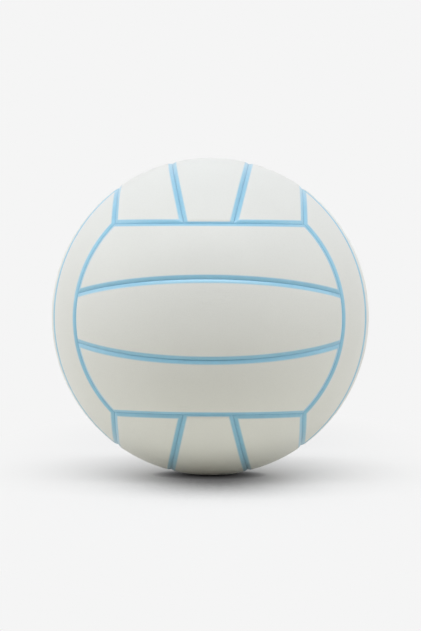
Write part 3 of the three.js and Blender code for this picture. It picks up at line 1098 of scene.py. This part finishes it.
# Floor, light and background
studio = {
    "background": (0.913, 0.913, 0.913, 1),
    "floorColour": (0.83, 0.81, 0.735, 1),
    "floorBounceGlow": (0.065, 0.06, 0.05, 1),   # painted light: a faint glow from the floor, hidden from the camera, that brightens the ball's underside; none where the ball touches
    "floorShown": (0.86, 0.86, 0.86, 1),     # its own colour as the camera sees it
    "floorGlow": 0.45,                       # share of the shown floor that no shadow reaches
    "floorSize": 8.0,                        # from its middle to its edges
    "fadeCentre": (0.002, 0.108, 0),         # the floor melts into the background away from here,
    "fadeStretch": (3.73, 1, 0),             # sooner to the sides than to the back
    "fadeTo": 0.7,
    "shadeReach": 0.2,                       # the soft shade in front of the ball
    "shadeDark": 0.575,
    "shadeClear": 0.774,
    "shadePower": 0.89,
    "shadeMiddle": 0.0077,
    "shadeHalfWidth": 0.1057,
    "shadeSamples": 16,
    "wideReach": 0.1,                        # the faint shade all round it
    "widePower": 0.466,
    "contactReach": 0.007,                   # the dark line where the ball touches the floor
    "contactPower": 0.35,                    # how early the background's light comes in beside it
    "skySide": (0.15, 0.15, 0.15, 1),
    "skySideFrom": 0.3,                      # how far round to the side its light starts
    "skyBack": (0.94, 0.95, 0.97, 1),
}

lamps = {
    "overheadLamp": {
        "place": (0, -0.63, 1.36),
        "size": (2.0, 0.5),
        "power": 20.6,
        "colour": (0.972, 0.985, 1),
    },
    "leftLamp": {
        "place": (-1.2, -0.1, 0.5),
        "size": (0.9, 0.9),
        "power": 4.4,
        "colour": (1, 1, 1),
    },
    "rightLamp": {
        "place": (1.2, -0.1, 0.5),
        "size": (0.9, 0.9),
        "power": 3.2,
        "colour": (1, 1, 1),
    },
}


# Rays that show the floor and the background as they look: the camera's, and those in reflections
def showingRays(tree):
    path = addNode(tree, "LightPath").outputs
    reflected = mathNode(tree, "MAXIMUM", path["Is Glossy Ray"], path["Is Transmission Ray"])
    return mathNode(tree, "MAXIMUM", path["Is Camera Ray"], reflected)


# How open the floor is to the light within a distance, over it or towards a direction
def openness(tree, inputs):
    return addNode(tree, "AmbientOcclusion", inputs, samples=studio["shadeSamples"]).outputs["AO"]


# The floor's shade as it is shown, darkest in front of the ball, which hides the backdrop's light
# there, and how open the floor is next to the ball
def makeFloorShade(tree):
    behind = addNode(tree, "CombineXYZ", {"Y": 1.0}).outputs[0]
    backLit = openness(tree, {"Distance": studio["shadeReach"], "Normal": behind})
    backLit = spread(tree, backLit, studio["shadeDark"], studio["shadeClear"])
    shade = mathNode(tree, "SUBTRACT", 1.0, mathNode(tree, "POWER", backLit, studio["shadePower"]))
    place = addNode(tree, "NewGeometry").outputs["Position"]
    across = addNode(tree, "SeparateXYZ", {0: place}).outputs["X"]
    across = mathNode(tree, "ABSOLUTE", mathNode(tree, "SUBTRACT", across, studio["shadeMiddle"]))
    inFront = spread(tree, across, 0.0, studio["shadeHalfWidth"], 1.0, 0.0, smooth=True)
    clear = mathNode(tree, "SUBTRACT", 1.0, mathNode(tree, "MULTIPLY", shade, inFront))
    wide = mathNode(tree, "POWER", openness(tree, {"Distance": studio["wideReach"]}), studio["widePower"])
    near = openness(tree, {"Distance": studio["contactReach"]})
    return mathNode(tree, "MULTIPLY", near, mathNode(tree, "MULTIPLY", wide, clear)), near


# How far the floor has melted into the background, which doesn't reach in where the ball touches it
def makeFloorFade(tree, near):
    place = addNode(tree, "NewGeometry").outputs["Position"]
    place = vectorNode(tree, "SUBTRACT", place, studio["fadeCentre"])
    place = vectorNode(tree, "MULTIPLY", place, studio["fadeStretch"])
    away = addNode(tree, "VectorMath", {0: place}, operation="LENGTH").outputs["Value"]
    fade = spread(tree, away, 0.0, studio["fadeTo"], smooth=True)
    return mathNode(tree, "MULTIPLY", fade, mathNode(tree, "POWER", near, studio["contactPower"]))


def makeFloor():
    corners = np.array([(-1, -1, 0), (1, -1, 0), (1, 1, 0), (-1, 1, 0)]) * studio["floorSize"]
    floor = newPiece("floor", corners - np.array([0, 0, ball["radius"]]), [(0, 1, 2, 3)])
    made, tree = newMaterial("studioFloor")
    shade, near = makeFloorShade(tree)
    matt = addNode(tree, "BsdfDiffuse", {"Color": studio["floorColour"]})
    # painted light: the floor glows faintly for the ball, everywhere but where the ball touches it
    bounceGlow = addNode(tree, "Emission", {"Color": studio["floorBounceGlow"], "Strength": near})
    lighting = addNode(tree, "AddShader", {0: matt.outputs[0], 1: bounceGlow.outputs[0]})
    lit = addNode(tree, "BsdfDiffuse", {"Color": mixColours(tree, shade, black, studio["floorShown"])})
    glow = addNode(tree, "Emission", {"Color": mixColours(tree, shade, black, studio["background"])})
    far = addNode(tree, "Emission", {"Color": studio["background"]})
    shown = mixShaders(tree, studio["floorGlow"], lit, glow)
    shown = mixShaders(tree, makeFloorFade(tree, near), shown, far)
    pick = mixShaders(tree, showingRays(tree), lighting, shown)
    addNode(tree, "OutputMaterial", {"Surface": pick.outputs[0]})
    floor.data.materials.append(made)


# Soft light from both sides and from behind, on matt surfaces alone
def makeWorld():
    world = bpy.data.worlds.new("studioWorld")
    bpy.context.scene.world = world
    world.use_nodes = True
    tree = world.node_tree
    tree.nodes.clear()
    direction = addNode(tree, "SeparateXYZ", {0: addNode(tree, "TexCoord").outputs["Generated"]}).outputs
    side = spread(tree, mathNode(tree, "ABSOLUTE", direction["X"]), studio["skySideFrom"], 1.0)
    sideLight = mixColours(tree, side, black, studio["skySide"])
    backLight = mixColours(tree, spread(tree, direction["Y"], 0.0, 1.0), black, studio["skyBack"])
    light = addNode(tree, "Background", {"Color": mixColours(tree, 1.0, sideLight, backLight, blend="ADD")})
    pale = addNode(tree, "Background", {"Color": studio["background"]})
    pick = mixShaders(tree, showingRays(tree), light, pale)
    addNode(tree, "OutputWorld", {"Surface": pick.outputs[0]})


def makeLamp(name, place, size, power, colour):
    data = bpy.data.lights.new(name, "AREA")
    data.shape = "RECTANGLE"
    data.size, data.size_y = size
    data.energy = power
    data.color = colour
    lamp = bpy.data.objects.new(name, data)
    lamp.location = place
    lamp.rotation_mode = "QUATERNION"
    lamp.rotation_quaternion = (-Vector(place)).to_track_quat("-Z", "Y")
    bpy.context.scene.collection.objects.link(lamp)


makeFloor()
makeWorld()
for name, lamp in lamps.items():
    makeLamp(name, **lamp)
bpy.context.scene.view_settings.view_transform = "Standard"
print("studio: ready")
